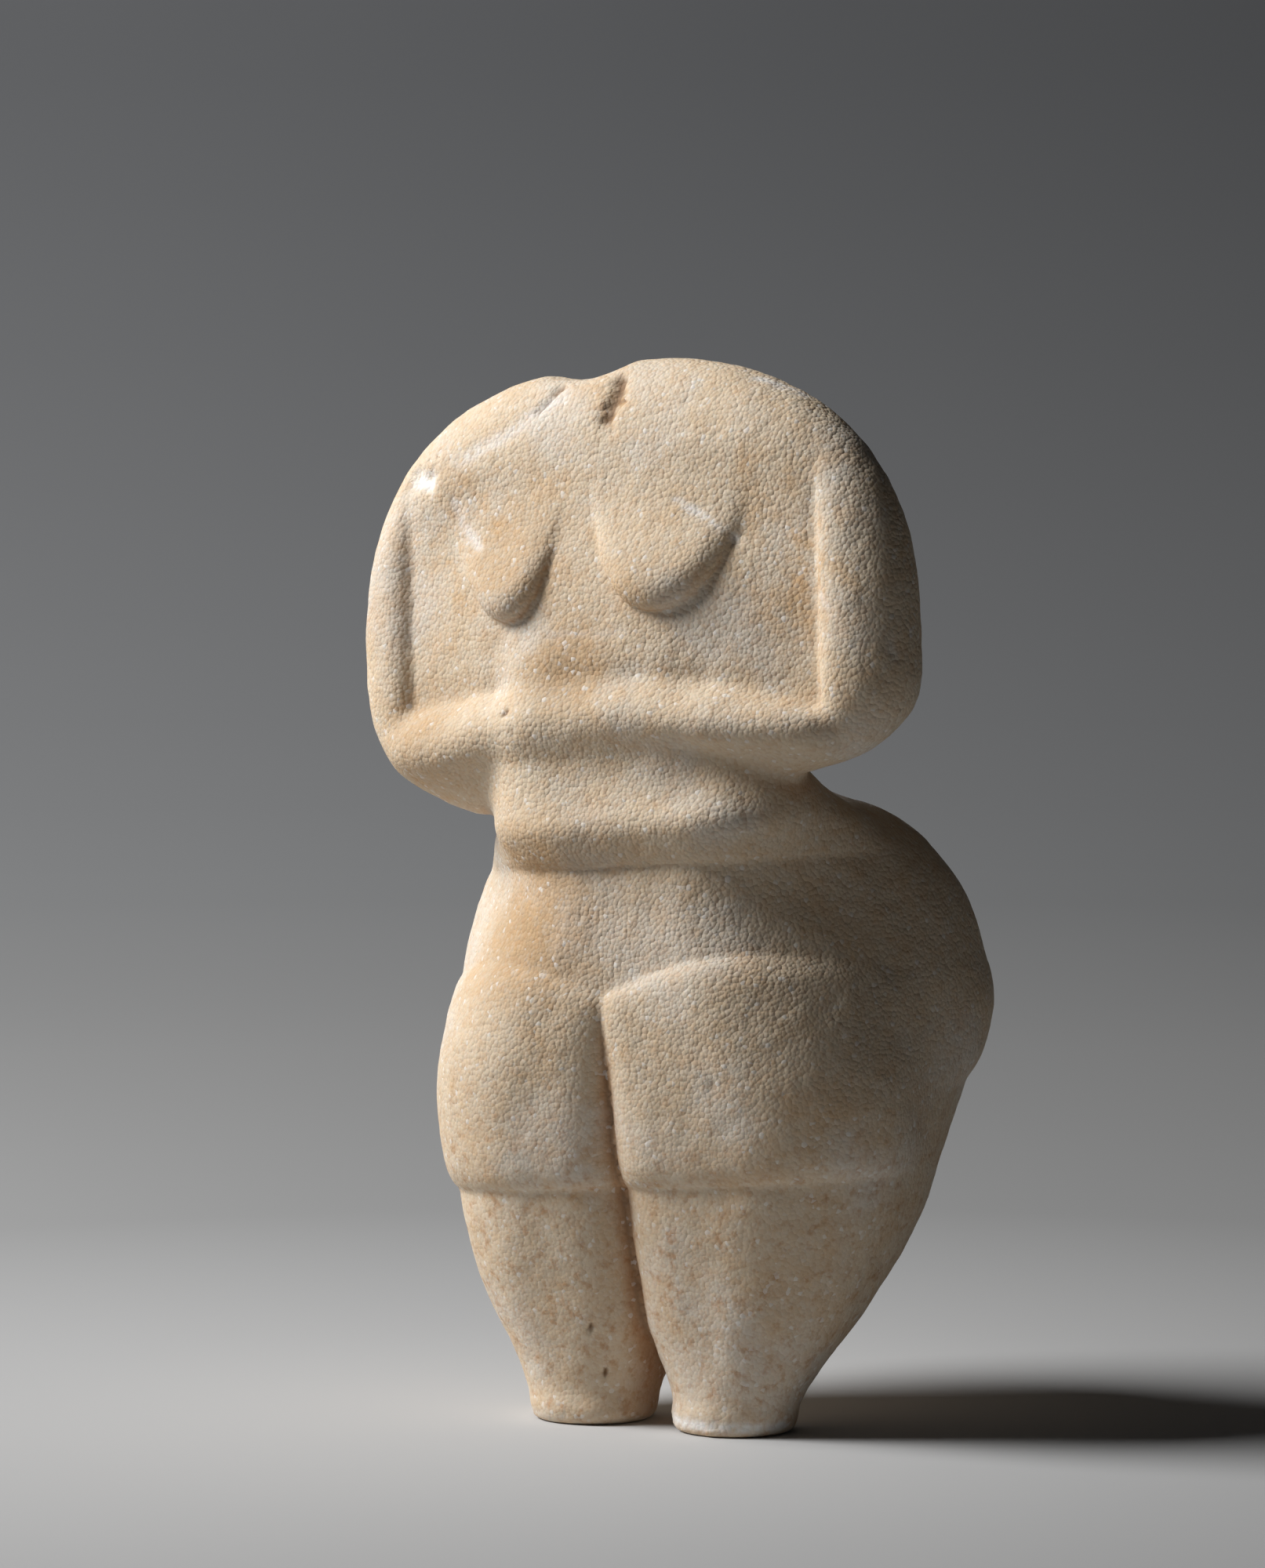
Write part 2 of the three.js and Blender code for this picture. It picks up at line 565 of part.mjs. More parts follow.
// The soles are cut flat where the figure meets the ground, and the origin goes to the middle of her box.
// No corner is left so close to the cut that it would give a sliver.
function figurineGeometry() {
  const bodySizes = LEVELS.flatMap((row) => row.slice(1, 5).map((size) => size * U));
  const widest = Math.max(RIGHT_ARM_REACH, LEFT_ARM_REACH, ...bodySizes) + LEFT_FULLNESS;
  const reach = (Math.ceil(widest / FACET) + SPARE_CELLS) * FACET;
  const top = TORSO_CENTRE[2] * U + SHOULDER_RISE + SPARE_CELLS * FACET;
  const fine = carve([-reach, -reach, -SPARE_CELLS * FACET], [reach, reach, top]);
  const thinned = thinOut(fine);
  for (const vertex of thinned.vertices) {
    if (Math.abs(vertex.z) < CUT_CLEARANCE) vertex.z = vertex.z < 0 ? -CUT_CLEARANCE : CUT_CLEARANCE;
  }
  const figure = toSolid(toBufferGeometry(thinned));
  const ground = new THREE.BoxGeometry(4 * reach, 4 * reach, 8 * FACET);
  ground.translate(0, 0, -4 * FACET);
  const geometry = toGeometry(figure.subtract(toSolid(ground)));
  geometry.computeBoundingBox();
  const middle = geometry.boundingBox.getCenter(new THREE.Vector3());
  geometry.translate(-middle.x, -middle.y, 0);
  geometry.computeVertexNormals();
  return geometry;
}

const marble = new THREE.MeshStandardMaterial({ color: 0xcdb99d, roughness: 0.82, metalness: 0 });
const figurine = new THREE.Mesh(figurineGeometry(), marble);
figurine.name = 'figurine';

const part = new THREE.Group();
part.add(figurine);

export default part;
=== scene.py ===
# %% [markdown]
# A standing woman of white marble, 216 mm tall, with folded arms. Her head and neck broke off long ago.
# The solid that loads here is the same figure in plain facets. It fixes her size, her stance and every large form.
# The steps below add what stone shows close up: crisp carving, grain, chips, stains and wear.
# Some shade and glints are painted into the colour as well.

# %% Load the solid
import json

import bpy
import numpy as np
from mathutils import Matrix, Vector, noise

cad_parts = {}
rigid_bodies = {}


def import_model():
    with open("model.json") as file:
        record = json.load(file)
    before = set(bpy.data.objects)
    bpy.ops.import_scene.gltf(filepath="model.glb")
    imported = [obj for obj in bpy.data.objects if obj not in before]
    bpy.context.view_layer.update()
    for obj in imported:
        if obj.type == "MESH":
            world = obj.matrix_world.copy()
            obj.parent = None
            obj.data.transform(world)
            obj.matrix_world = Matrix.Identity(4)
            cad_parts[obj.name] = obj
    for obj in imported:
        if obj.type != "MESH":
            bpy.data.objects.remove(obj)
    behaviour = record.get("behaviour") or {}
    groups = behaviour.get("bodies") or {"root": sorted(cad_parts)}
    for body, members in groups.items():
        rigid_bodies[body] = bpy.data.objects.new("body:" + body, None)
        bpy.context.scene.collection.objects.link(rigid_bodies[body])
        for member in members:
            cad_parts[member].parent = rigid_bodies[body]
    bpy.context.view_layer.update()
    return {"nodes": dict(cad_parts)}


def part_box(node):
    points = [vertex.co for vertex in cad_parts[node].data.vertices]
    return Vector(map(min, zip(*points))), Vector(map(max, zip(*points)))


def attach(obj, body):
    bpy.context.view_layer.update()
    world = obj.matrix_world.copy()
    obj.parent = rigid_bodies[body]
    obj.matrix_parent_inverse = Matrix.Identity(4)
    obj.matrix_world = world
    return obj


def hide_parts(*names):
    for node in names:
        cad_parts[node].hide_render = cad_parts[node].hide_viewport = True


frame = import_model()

solid = frame["nodes"]["figurine"]
low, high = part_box("figurine")
print("solid", [round(1000 * side, 1) for side in high - low], "mm")

# %% [markdown]
# A carver measures in shares of the height, so lengths here are counted in 214ths of it, a little over 1 mm each.
# Places are counted from the middle of the two feet: x to her left, y to her back, z up.

# %% Units and places
UNITS_HIGH = 214
U = high.z / UNITS_HIGH
STANCE = np.array([1.58, -13.99, 0])


def place(x, y, z):
    return Vector((np.array([x, y, z]) + STANCE) * U)


print("unit", round(1000 * U, 3), "mm")

# %% [markdown]
# The photograph was taken from a little above, about 30 degrees to her left, with a long lens from over a metre.
# A long lens keeps the proportions calm. The camera is added at its place and turned to look at her waist.

# %% Camera
CAMERA_PLACE = place(600, -1039.2, 190)
CAMERA_AIM = place(-5.37, -3.1, 129)
LENS = 137.6

look = CAMERA_AIM - CAMERA_PLACE
bpy.ops.object.camera_add(location=CAMERA_PLACE, rotation=look.to_track_quat("-Z", "Y").to_euler())
camera = bpy.context.object
camera.data.lens = LENS
camera.data.sensor_width = 36
bpy.context.scene.camera = camera
bpy.context.scene.view_settings.view_transform = "Standard"
print("camera stands", round(look.length, 2), "m away")

# %% [markdown]
# The figure is one block of stone, so it is one mesh. It starts as a copy of the solid, whose loose triangles are
# merged. A voxel remesh then gives it an even skin of small squares, fine enough to hold the carving, and a little
# smoothing takes the facets out. It could be sculpted by brush instead, but then the sizes would drift.

# %% Even skin over the block
SKIN = 1.0 * U

bpy.ops.object.select_all(action="DESELECT")
figure = bpy.data.objects.new("carved_marble", solid.data.copy())
bpy.context.scene.collection.objects.link(figure)
figure.select_set(True)
bpy.context.view_layer.objects.active = figure
bpy.ops.object.mode_set(mode="EDIT")
bpy.ops.mesh.select_all(action="SELECT")
bpy.ops.mesh.remove_doubles(threshold=0.001 * U)
bpy.ops.object.mode_set(mode="OBJECT")


def finish_with(kind, **settings):
    modifier = figure.modifiers.new(kind.lower(), kind)
    for name, value in settings.items():
        setattr(modifier, name, value)
    bpy.ops.object.modifier_apply(modifier=modifier.name)


finish_with("REMESH", mode="VOXEL", voxel_size=SKIN, use_smooth_shade=True)
finish_with("SMOOTH", factor=0.5, iterations=4)
print("skin", len(figure.data.polygons), "squares")

# %% [markdown]
# Remeshing rounds the creases off, and on her they are the drawing: under the breasts, round the arms, over the
# thighs. So the skin is pulled back onto the forms that the block was cut to. Each form is a function that says how
# far a point lies outside the stone. Two forms are joined with a rounded seam, or only what both share is kept.

# %% Rounded seams between forms
def join(a, b, width):
    overlap = np.maximum(width - np.abs(a - b), 0) / width
    return np.minimum(a, b) - overlap ** 2 * width / 4


def meet(a, b, width):
    return -join(-a, -b, width)


def swell(inside, width):
    return 1 - np.exp(-np.maximum(inside, 0) / width)


def ramp(at, start, end):
    t = np.clip((at - start) / (end - start), 0, 1)
    return t * t * (3 - 2 * t)


def blend(a, b, share):
    return a + (b - a) * share


def ellipsoid(x, y, z, centre, radii):
    gaps = [x - centre[0], y - centre[1], z - centre[2]]
    reach = np.sqrt(sum((gap / radius) ** 2 for gap, radius in zip(gaps, radii)))
    slope = np.sqrt(sum((gap / radius ** 2) ** 2 for gap, radius in zip(gaps, radii)))
    return reach * (reach - 1) / np.maximum(slope, 1e-6)


print("two forms 1 apart, joined over 3:", round(float(join(0.0, 1.0, 3)), 2))


# %% Smooth curve through a column of a table
def profile(at, table, column):
    stations = np.array([row[0] for row in table], float)
    values = np.array([row[column] for row in table], float)
    before = np.maximum(np.arange(len(table)) - 1, 0)
    after = np.minimum(np.arange(len(table)) + 1, len(table) - 1)
    slopes = (values[after] - values[before]) / (stations[after] - stations[before])
    at = np.clip(at, stations[0], stations[-1])
    i = np.clip(np.searchsorted(stations, at, side="right") - 1, 0, len(table) - 2)
    span = stations[i + 1] - stations[i]
    t = (at - stations[i]) / span
    return ((1 + 2 * t) * (1 - t) ** 2 * values[i] + t * (1 - t) ** 2 * span * slopes[i]
            + t * t * (3 - 2 * t) * values[i + 1] + t * t * (t - 1) * span * slopes[i + 1])


print("halfway between 0 and 1 the curve is at", float(profile(0.5, ((0, 0), (1, 1)), 1)))

# %% [markdown]
# Legs, hips and waist are one column with rounded corners, narrow at the feet and widest at the hips, and the
# buttocks swell out of it behind. Each row is one level up the body. Her front is fuller on her left side.

# %% Legs, hips and waist
LEVELS = (      # level, half width in front and behind, front, back, corner radius in front and behind
    (0, 28.4, 27.6, -12.0, 11.8, 12, 12),     # sole
    (9, 31.4, 30.4, -12.0, 16.0, 13, 14),     # ankle
    (26, 39.9, 40.7, -15.6, 27.4, 19, 20),    # calf
    (47, 43.8, 50.9, -20.3, 36.8, 24, 25),    # knee
    (70, 45.7, 54.9, -23.2, 43.5, 27, 30),    # thigh
    (90, 38.6, 57.4, -23.8, 48.5, 28, 34),    # hip
    (106, 30.2, 51.4, -22.3, 43.5, 26, 31),   # pelvis
    (118, 27.6, 42.2, -21.0, 31.0, 20, 24),   # loin
    (130, 28.5, 31.0, -20.0, 15.0, 16, 16),   # waist
    (145, 24.0, 24.0, -18.0, 3.0, 8, 8),      # ribs
)
COLUMN_TOP = 152
LEFT_FULLNESS = 8
BUTTOCK_CENTRE = (25.5, 24.5, 91.5)
BUTTOCK_RADII = (28.6, 28, 34)


def column(x, y, z):
    wide_front, wide_back, front, back, round_front, round_back = (profile(z, LEVELS, c) for c in range(1, 7))
    half_depth, middle = (back - front) / 2, (back + front) / 2
    behind = ramp((y - middle) / half_depth, -1, 1)
    fuller = LEFT_FULLNESS * ramp(x, -12, 12) * ramp(z, 14, 62)
    rounding = blend(round_front, round_back, behind)
    out_x = np.abs(x) - blend(wide_front + fuller, wide_back, behind) + rounding
    out_y = np.abs(y - middle) - half_depth + rounding
    corner = np.hypot(np.maximum(out_x, 0), np.maximum(out_y, 0))
    body = np.minimum(np.maximum(out_x, out_y), 0) + corner - rounding
    body = join(body, ellipsoid(np.abs(x), y, z, BUTTOCK_CENTRE, BUTTOCK_RADII), 14)
    return meet(body, z - COLUMN_TOP, 8)


print("levels up the body:", len(LEVELS))

# %% [markdown]
# Low relief divides the column: the thighs are pads that stand about 2.6 mm proud between a crease at the groin
# and one at the knee, a cleft parts the legs, a groove parts the buttocks, and each foot is a short stub with a rim.

# %% Thighs, cleft, buttocks and feet
TILT = 0.07     # the creases rise towards her left side, by this share of the way
THIGH_CREASE_LEVEL, THIGH_CREASE_ARCH, THIGH_WIDTH, THIGH_RELIEF, KNEE_LEVEL = 88.2, 6.8, 56, 2.6, 49.2
BUTTOCK_FOLD_LEVEL, BUTTOCK_FOLD_RELIEF = 73, 1.6
BUTTOCK_GROOVE_DEPTH, BUTTOCK_GROOVE_WIDTH = 5, 6
CLEFT = (       # level, half gap, and how widely its edges are rounded
    (0, 4.5, 14), (8, 2.8, 16), (15, 0.8, 16), (22, -0.7, 15),
    (40, -1.2, 14), (60, -1.6, 13), (82, -3.3, 11), (92, -9.0, 10),
)
FOOT_SPREAD, FOOT_SETBACK, FOOT_RADIUS, FOOT_RIM_HEIGHT, FOOT_RIM_ROUND = 32.8, 0.5, 12, 5.2, 2


def limb_relief(x, y, z):
    out = np.abs(x)
    arch = 1 - (2 * out / THIGH_WIDTH - 1) ** 2
    crease = THIGH_CREASE_LEVEL + THIGH_CREASE_ARCH * arch + TILT * x
    thigh = THIGH_RELIEF * swell(crease - z, 2.6) * swell(z - KNEE_LEVEL - TILT * x, 2.2)
    fold = BUTTOCK_FOLD_LEVEL + 3 * np.cos(np.clip(out / 52, 0, 1) * np.pi)
    buttock = BUTTOCK_FOLD_RELIEF * swell(z - fold, 2.5) * (1 - ramp(z, 84, 98))
    return thigh * (1 - ramp(y, -16, 14)) + buttock * ramp(y, 8, 30)


def buttock_groove(x, y, z):
    along = ramp(z, 60, 72) * (1 - ramp(z, 104, 120))
    return BUTTOCK_GROOVE_DEPTH * np.exp(-(x / BUTTOCK_GROOVE_WIDTH) ** 2) * along * ramp(y, 20, 36)


def add_feet(body, x, y, z):
    out = np.hypot(np.abs(x) - FOOT_SPREAD / 2, y - FOOT_SETBACK) - FOOT_RADIUS + FOOT_RIM_ROUND
    above = z - FOOT_RIM_HEIGHT + FOOT_RIM_ROUND
    return join(body, np.hypot(np.maximum(out, 0), np.maximum(above, 0)) - FOOT_RIM_ROUND, 2)


print("thighs stand", round(THIGH_RELIEF * 1000 * U, 1), "mm proud")

# %% [markdown]
# The belly flares like a short skirt. It slopes out from the waist to a rounded ridge, turns under, and ends in a
# fold with a thin lip. It is raised on the column, less at the flanks and not at all behind.

# %% Belly
BELLY_FOLD_LEVEL, BELLY_RELIEF, BELLY_SIDE_RELIEF, BELLY_RIDGE_RISE, BELLY_HEIGHT = 113.2, 5.4, 3.2, 8.5, 22
BELLY_LIP = 0.8


def belly_relief(x, y, z):
    above = z - BELLY_FOLD_LEVEL - TILT * x
    slope = (BELLY_HEIGHT - above) / (BELLY_HEIGHT - BELLY_RIDGE_RISE)
    raised = np.maximum(join(above / BELLY_RIDGE_RISE, slope, 0.5), 0)
    lip = BELLY_LIP / BELLY_RELIEF * swell(above, 0.7) * (1 - ramp(above, 3, 12))
    strength = blend(BELLY_RELIEF, BELLY_SIDE_RELIEF, ramp(y, -18, -4)) * (1 - ramp(y, 0, 18))
    return strength * (raised + lip)


print("belly stands", round(BELLY_RELIEF * 1000 * U, 1), "mm proud in front")

# %% [markdown]
# The torso is a thick plate with a blunt oval outline, turned a little and leaning on the waist. Its rim is the arms.
# Inside the rim lies a sunk panel with the chest, and two long breasts hang on it. A blunt oval is a power curve.

# %% Breasts and the outline of the torso
RIGHT_REACH, LEFT_REACH, SHOULDER_RISE, RIGHT_ELBOW_DROP, LEFT_ELBOW_DROP = 65, 65.4, 56.9, 35.2, 28.4
PLATE_THICKNESS, PLATE_RIM = 24, 18
BREASTS = (     # place of the tip, place of the top, half width at the top, how blunt the tip is
    (-21.3, 4.8, -23.9, 34, 15, 1.85),
    (15, 5.2, 17.7, 36, 18, 2.05),
)
BREAST_RELIEF, BREAST_EDGE = 4.8, 6.5


def inside_oval(x, z, half_width, half_height, bluntness):
    u, v = np.maximum(np.abs(x) / half_width, 1e-4), np.maximum(np.abs(z) / half_height, 1e-4)
    reach = (u ** bluntness + v ** bluntness) ** (1 / bluntness)
    across = np.hypot(u ** (bluntness - 1) / half_width, v ** (bluntness - 1) / half_height)
    return (1 - reach) / (reach ** (1 - bluntness) * across)


def plate_outline(x, z):
    left = ramp(x, -25, 25)
    bluntness = np.where(z > 0, blend(2.48, 2.3, left), blend(2.8, 3.5, left))
    rise = np.where(z > 0, SHOULDER_RISE, blend(RIGHT_ELBOW_DROP, LEFT_ELBOW_DROP, left))
    return -inside_oval(x, z, np.where(x > 0, LEFT_REACH, RIGHT_REACH), rise, bluntness)


def plate_distance(outline, y):     # the rim is an ellipse from the plate's faces to its outline
    across, deep = np.maximum(outline + PLATE_RIM, 0) / PLATE_RIM, 2 * y / PLATE_THICKNESS
    reach = np.maximum(np.hypot(across, deep), 1e-4)
    slope = np.hypot(across / PLATE_RIM, 2 * deep / PLATE_THICKNESS) / reach
    return (reach - 1) / np.maximum(slope, 1e-4)


def breast_relief(x, z):
    relief = 0
    for tip_x, tip_z, top_x, top_z, half_width, bluntness in BREASTS:
        height = top_z - tip_z
        down = (top_z - z) / height
        inside = inside_oval(x - blend(top_x, tip_x, down), np.maximum(down, 0) * height,
                             half_width, height, bluntness)
        shoulder = 1 - np.clip(inside / BREAST_EDGE, 0, 1)
        relief = relief + BREAST_RELIEF * np.sqrt(1 - shoulder ** 2) * ramp(down, 0, 1)
    return relief


print("arms span", round((RIGHT_REACH + LEFT_REACH) * 1000 * U, 1), "mm")

# %% [markdown]
# The forearms lie across the body as one band with no hands, thinnest in the middle, and an arch under them frees
# the waist.

# %% Torso with arms
PANEL_RIGHT, PANEL_LEFT, PANEL_BOTTOM, PANEL_BOW_RIGHT, PANEL_BOW_LEFT = 49.4, 48.4, 7, 5, 10
PANEL_DEPTH, PANEL_FADE_TOP = 3.8, 40
CHEST_CENTRE, CHEST_RADII = (0, 3, 6), (50, 17.5, 41)
FOREARM_LEVEL, FOREARM_HALF_HEIGHT, FOREARM_FRONT = -14.6, 8.2, 17.4
FOREARM_SAG_RIGHT, FOREARM_SAG_LEFT = 6.5, 9.5
ARCH_HALF_WIDTH, ARCH_LEVEL, ARCH_RISE = 34, -42, 18.5


def torso(x, y, z):
    outline = plate_outline(x, z)
    side = np.maximum(x - PANEL_LEFT, -PANEL_RIGHT - x)
    bow = np.where(x > 0, PANEL_BOW_LEFT, PANEL_BOW_RIGHT) * (x / PANEL_RIGHT) ** 2
    panel = meet(side, -PANEL_BOTTOM - bow - z, 3)
    front = 1 - ramp(y, -6, 2)

    sunk = PANEL_DEPTH * (1 - swell(panel, 2.6)) * (1 - ramp(z, 16, PANEL_FADE_TOP)) * front
    plate = plate_distance(outline, y) + sunk
    arch = (np.hypot(x / ARCH_HALF_WIDTH, (z - ARCH_LEVEL) / ARCH_RISE) - 1) * ARCH_RISE

    swollen = ellipsoid(x, y, z, CHEST_CENTRE, CHEST_RADII) - breast_relief(x, z) * (1 - ramp(y, -10, -4))
    chest = blend(swollen, meet(swollen, panel + 1, 4), front)
    body = join(meet(plate, -arch, 6), chest, 8)

    outward = (x / 50) ** 2
    high_half, deep_half = FOREARM_HALF_HEIGHT + 2.6 * outward, 14.5 - 1.5 * outward
    off_z = z - FOREARM_LEVEL + np.where(x > 0, FOREARM_SAG_LEFT, FOREARM_SAG_RIGHT) * outward
    off_y = y + FOREARM_FRONT - 14.5 - 2.5 * outward
    reach = np.hypot(off_z / high_half, off_y / deep_half)
    slope = np.hypot(off_z / high_half ** 2, off_y / deep_half ** 2)
    band = meet(reach * (reach - 1) / np.maximum(slope, 1e-5), outline + 1.5, 12)
    return join(body, meet(band, -panel - 0.6, 2), 3)


print("panel sunk by", round(PANEL_DEPTH * 1000 * U, 1), "mm")

# %% [markdown]
# The torso is turned into its place, and the neck break is scooped out of its top. Her hips and legs face a little to
# her left. The ground cuts the soles flat, and wear has rounded their edge, which a blunt cut gives.

# %% The whole stone
TORSO_CENTRE = (-1.7, -8, 157)
TORSO_TURN, TORSO_ROLL, TORSO_LEAN = np.radians(-4), np.radians(-4.2), np.radians(4)
BREAK_CENTRE, BREAK_RADII = (-8.5, 3, 59), (9.5, 30, 5.2)
HIPS_SLANT = 0.07
SOLE_WEAR = 2.4


def to_torso(x, y, z):
    x, y, z = x - TORSO_CENTRE[0], y - TORSO_CENTRE[1], z - TORSO_CENTRE[2]
    x, y = x * np.cos(TORSO_TURN) + y * np.sin(TORSO_TURN), y * np.cos(TORSO_TURN) - x * np.sin(TORSO_TURN)
    x, z = x * np.cos(TORSO_ROLL) - z * np.sin(TORSO_ROLL), x * np.sin(TORSO_ROLL) + z * np.cos(TORSO_ROLL)
    y, z = y * np.cos(TORSO_LEAN) - z * np.sin(TORSO_LEAN), y * np.sin(TORSO_LEAN) + z * np.cos(TORSO_LEAN)
    return x, y, z


def add_torso(body, x, y, z):
    own = to_torso(x, y, z)
    behind = ramp(own[1], -3, 6) * (1 - ramp(np.abs(x), 16, 30))
    before = (1 - ramp(y, -14, -4)) * (1 - ramp(np.abs(x + 4), 14, 34))
    joined = join(body, torso(*own), 3 + 11 * behind + 9 * before)
    return meet(joined, -ellipsoid(*own, BREAK_CENTRE, BREAK_RADII), 4)


def stone(points):
    x, y, z = points.T
    slanted_y = y - HIPS_SLANT * x * (1 - ramp(y, -14, 14)) * ramp(z, 4, 40)
    body = column(x, slanted_y, z) - limb_relief(x, slanted_y, z)
    body = meet(body, profile(z, CLEFT, 1) - np.abs(x), profile(z, CLEFT, 2))
    body = body + buttock_groove(x, y, z) - belly_relief(x, slanted_y, z)
    body = add_torso(add_feet(body, x, y, z), x, y, z)
    return meet(body, -z, SOLE_WEAR)


print("middle of the chest lies", round(float(-stone(np.array([[0, -8.0, 160]]))[0]), 1), "units deep")

# %% [markdown]
# Each point of the skin now walks along the slope of that function until it lies on the stone. Smoothing between
# the walks keeps the squares even.

# %% Pull the skin onto the stone
def read_points():
    flat = np.empty(len(figure.data.vertices) * 3)
    figure.data.vertices.foreach_get("co", flat)
    return flat.reshape(-1, 3) / U - STANCE


def write_points(points):
    figure.data.vertices.foreach_set("co", ((points + STANCE) * U).ravel())
    figure.data.update()


def steepest(points, d=0.1):
    return np.stack([(stone(points + d * axis) - stone(points - d * axis)) / (2 * d) for axis in np.eye(3)], 1)


def pull(points):
    slope = steepest(points)
    step = stone(points) / np.maximum((slope ** 2).sum(1), 0.2)
    return points - slope * np.clip(step, -1.5, 1.5)[:, None]


for smoothing in (3, 2, 0):
    if smoothing:
        finish_with("SMOOTH", factor=0.5, iterations=smoothing)
    write_points(pull(pull(read_points())))
print("farthest point from the stone", round(float(np.abs(stone(read_points())).max()), 3), "units")

# %% [markdown]
# How shut in each point is by the stone round it is kept on the points as numbers, for the colours later, which
# paint shade and some soil into hollows and folds. Hollow says how much the stone rises round a point, crease says
# the same for narrow folds. Both come from how the distance changes a few millimetres out, which is quicker than
# shooting rays.

# %% Hollows and creases, for painted shade and soil
def unit_normals(points):
    slope = steepest(points)
    return slope / np.maximum(np.linalg.norm(slope, axis=1), 1e-6)[:, None]


def store(name, values):
    attribute = figure.data.attributes.new(name, "FLOAT", "POINT")
    attribute.data.foreach_set("value", np.clip(values, 0, 1).astype(np.float32))


points = read_points()
normals = unit_normals(points)
# how shut in each point is, wide and narrow, later painted as shade with some soil
hollow = sum(1 - stone(points + reach * normals) / reach for reach in (3, 6, 11)) / 3
crease = 1 - stone(points + 1.6 * normals) / 1.6
store("hollow", hollow)
store("crease", crease)
print("hollow up to", round(float(hollow.max()), 2), "crease up to", round(float(crease.max()), 2))

# %% [markdown]
# No carved surface is even. Displace modifiers push the skin in and out with cloud noise: broad swellings of some
# 20 mm left by the pounding stone, dents of some 7 mm, and weathered pitting of 3 mm. The soles stay flat,
# because a vertex group holds the displacement off them.

# %% Uneven surface
UNEVENNESS = ((21, 0.7), (7, 0.3), (3, 0.24))     # width and depth in millimetres
ABOVE_SOLES = "above_the_soles"

held = figure.vertex_groups.new(name=ABOVE_SOLES)
above = np.clip(points[:, 2] / 2, 0, 1)
for level in range(1, 11):
    chosen = np.flatnonzero(np.round(above * 10) == level)
    held.add(chosen.tolist(), level / 10, "REPLACE")
for width, depth in UNEVENNESS:
    clouds = bpy.data.textures.new(f"clouds_{width}", "CLOUDS")
    clouds.noise_scale = width / 1000
    clouds.noise_depth = 1
    finish_with("DISPLACE", texture=clouds, texture_coords="LOCAL", strength=depth / 1000, mid_level=0.5,
                vertex_group=ABOVE_SOLES)
moved = np.abs(stone(read_points()))
print("moved by", round(float(moved.mean()), 2), "units on average,", round(float(moved.max()), 2), "at most")

# %% [markdown]
# Chips, scratches, pits and the groove below the neck are the history of the piece. Each is a short line on the
# surface with a width and a depth, and its ends are pulled onto the stone first. Points near it are pushed in, with
# ragged edges from noise. Fresh chips show white marble, old ones have filled with earth.

# %% Damage
DAMAGE = (      # line of points, half width, depth, fresh, earth
    (((-2.8, -12, 209.5), (-2.6, -14.5, 206.0), (-3.6, -16.6, 202.0)), 1.9, 1.3, 0, 0.75),       # neck groove
    (((-17.2, -11.5, 208.6), (-19.0, -13.7, 206.5), (-21.2, -15.0, 204.0)), 0.8, 0.7, 0, 0.7),   # crack beside it
    (((-53.5, -14.0, 191.0), (-49.0, -15.5, 190.0)), 3.0, 1.3, 0.9, 0),                          # chip, right arm
    (((-40.0, -17.1, 194.6), (-27.6, -16.7, 199.9), (-15.9, -13.5, 206.9)), 2.6, 0.25, 0.5, 0),  # shoulder ridge
    (((-40.8, -16.4, 185.5), (-38.9, -16.5, 181.1), (-33.5, -18.3, 177.0)), 1.8, 0.3, 0.55, 0),  # right scratch
    (((14.3, -19.0, 185.6), (20.7, -19.4, 182.6), (26.7, -18.1, 178.3)), 1.3, 0.35, 0.6, 0),     # left scratch
    (((27.0, -9.5, 208.9), (36.0, -8.3, 206.0)), 2.0, 0.2, 0.6, 0),                              # left shoulder
    (((57.4, -15.5, 159.5), (58.6, -15.5, 156.0)), 1.6, 0.3, 0.55, 0),                           # left arm
    (((47.6, -18.9, 168.0), (50.6, -18.9, 164.0)), 1.5, 0.2, 0.4, 0),                            # left arm
    (((-13.6, -21.8, 158.9), (4.6, -22.2, 160.0)), 1.1, 0.15, 0.35, 0),                          # streak, chest
    (((-22.7, -24.8, 144.6), (-22.9, -24.8, 143.6)), 0.9, 0.8, 0, 0.8),                          # pit, forearm
    (((-19.9, -26.5, 140.5), (-20.1, -26.5, 139.7)), 0.7, 0.6, 0, 0.7),                          # pit, forearm
    (((25.1, -25.3, 72.2), (24.9, -25.3, 71.4)), 0.6, 0.4, 0, 0.4),                              # pit, thigh
    (((-9.0, -13.6, 20.6), (-9.0, -13.6, 19.9)), 0.7, 0.8, 0, 0.9),                              # pit, shin
    (((-7.8, -9.7, 11.2), (-7.8, -9.7, 10.5)), 0.6, 0.7, 0, 0.9),                                # pit, ankle
    (((5.0, -7.5, 2.6), (10, -11.2, 2.4), (17, -12, 2.2), (25, -8.5, 2.2), (28, -2, 2.4)), 1.7, 0.45, 0.8, 0),
    (((-27.5, -5.5, 2.0), (-24, -9.5, 1.8), (-16, -12, 1.6)), 1.0, 0.3, 0.45, 0),                # right foot rim
)


def distance_to(line, points):
    nearest = np.full(len(points), np.inf)
    for start, end in zip(line[:-1], line[1:]):
        along = end - start
        share = np.clip((points - start) @ along / (along @ along), 0, 1)
        nearest = np.minimum(nearest, np.linalg.norm(points - start - share[:, None] * along, axis=1))
    return nearest


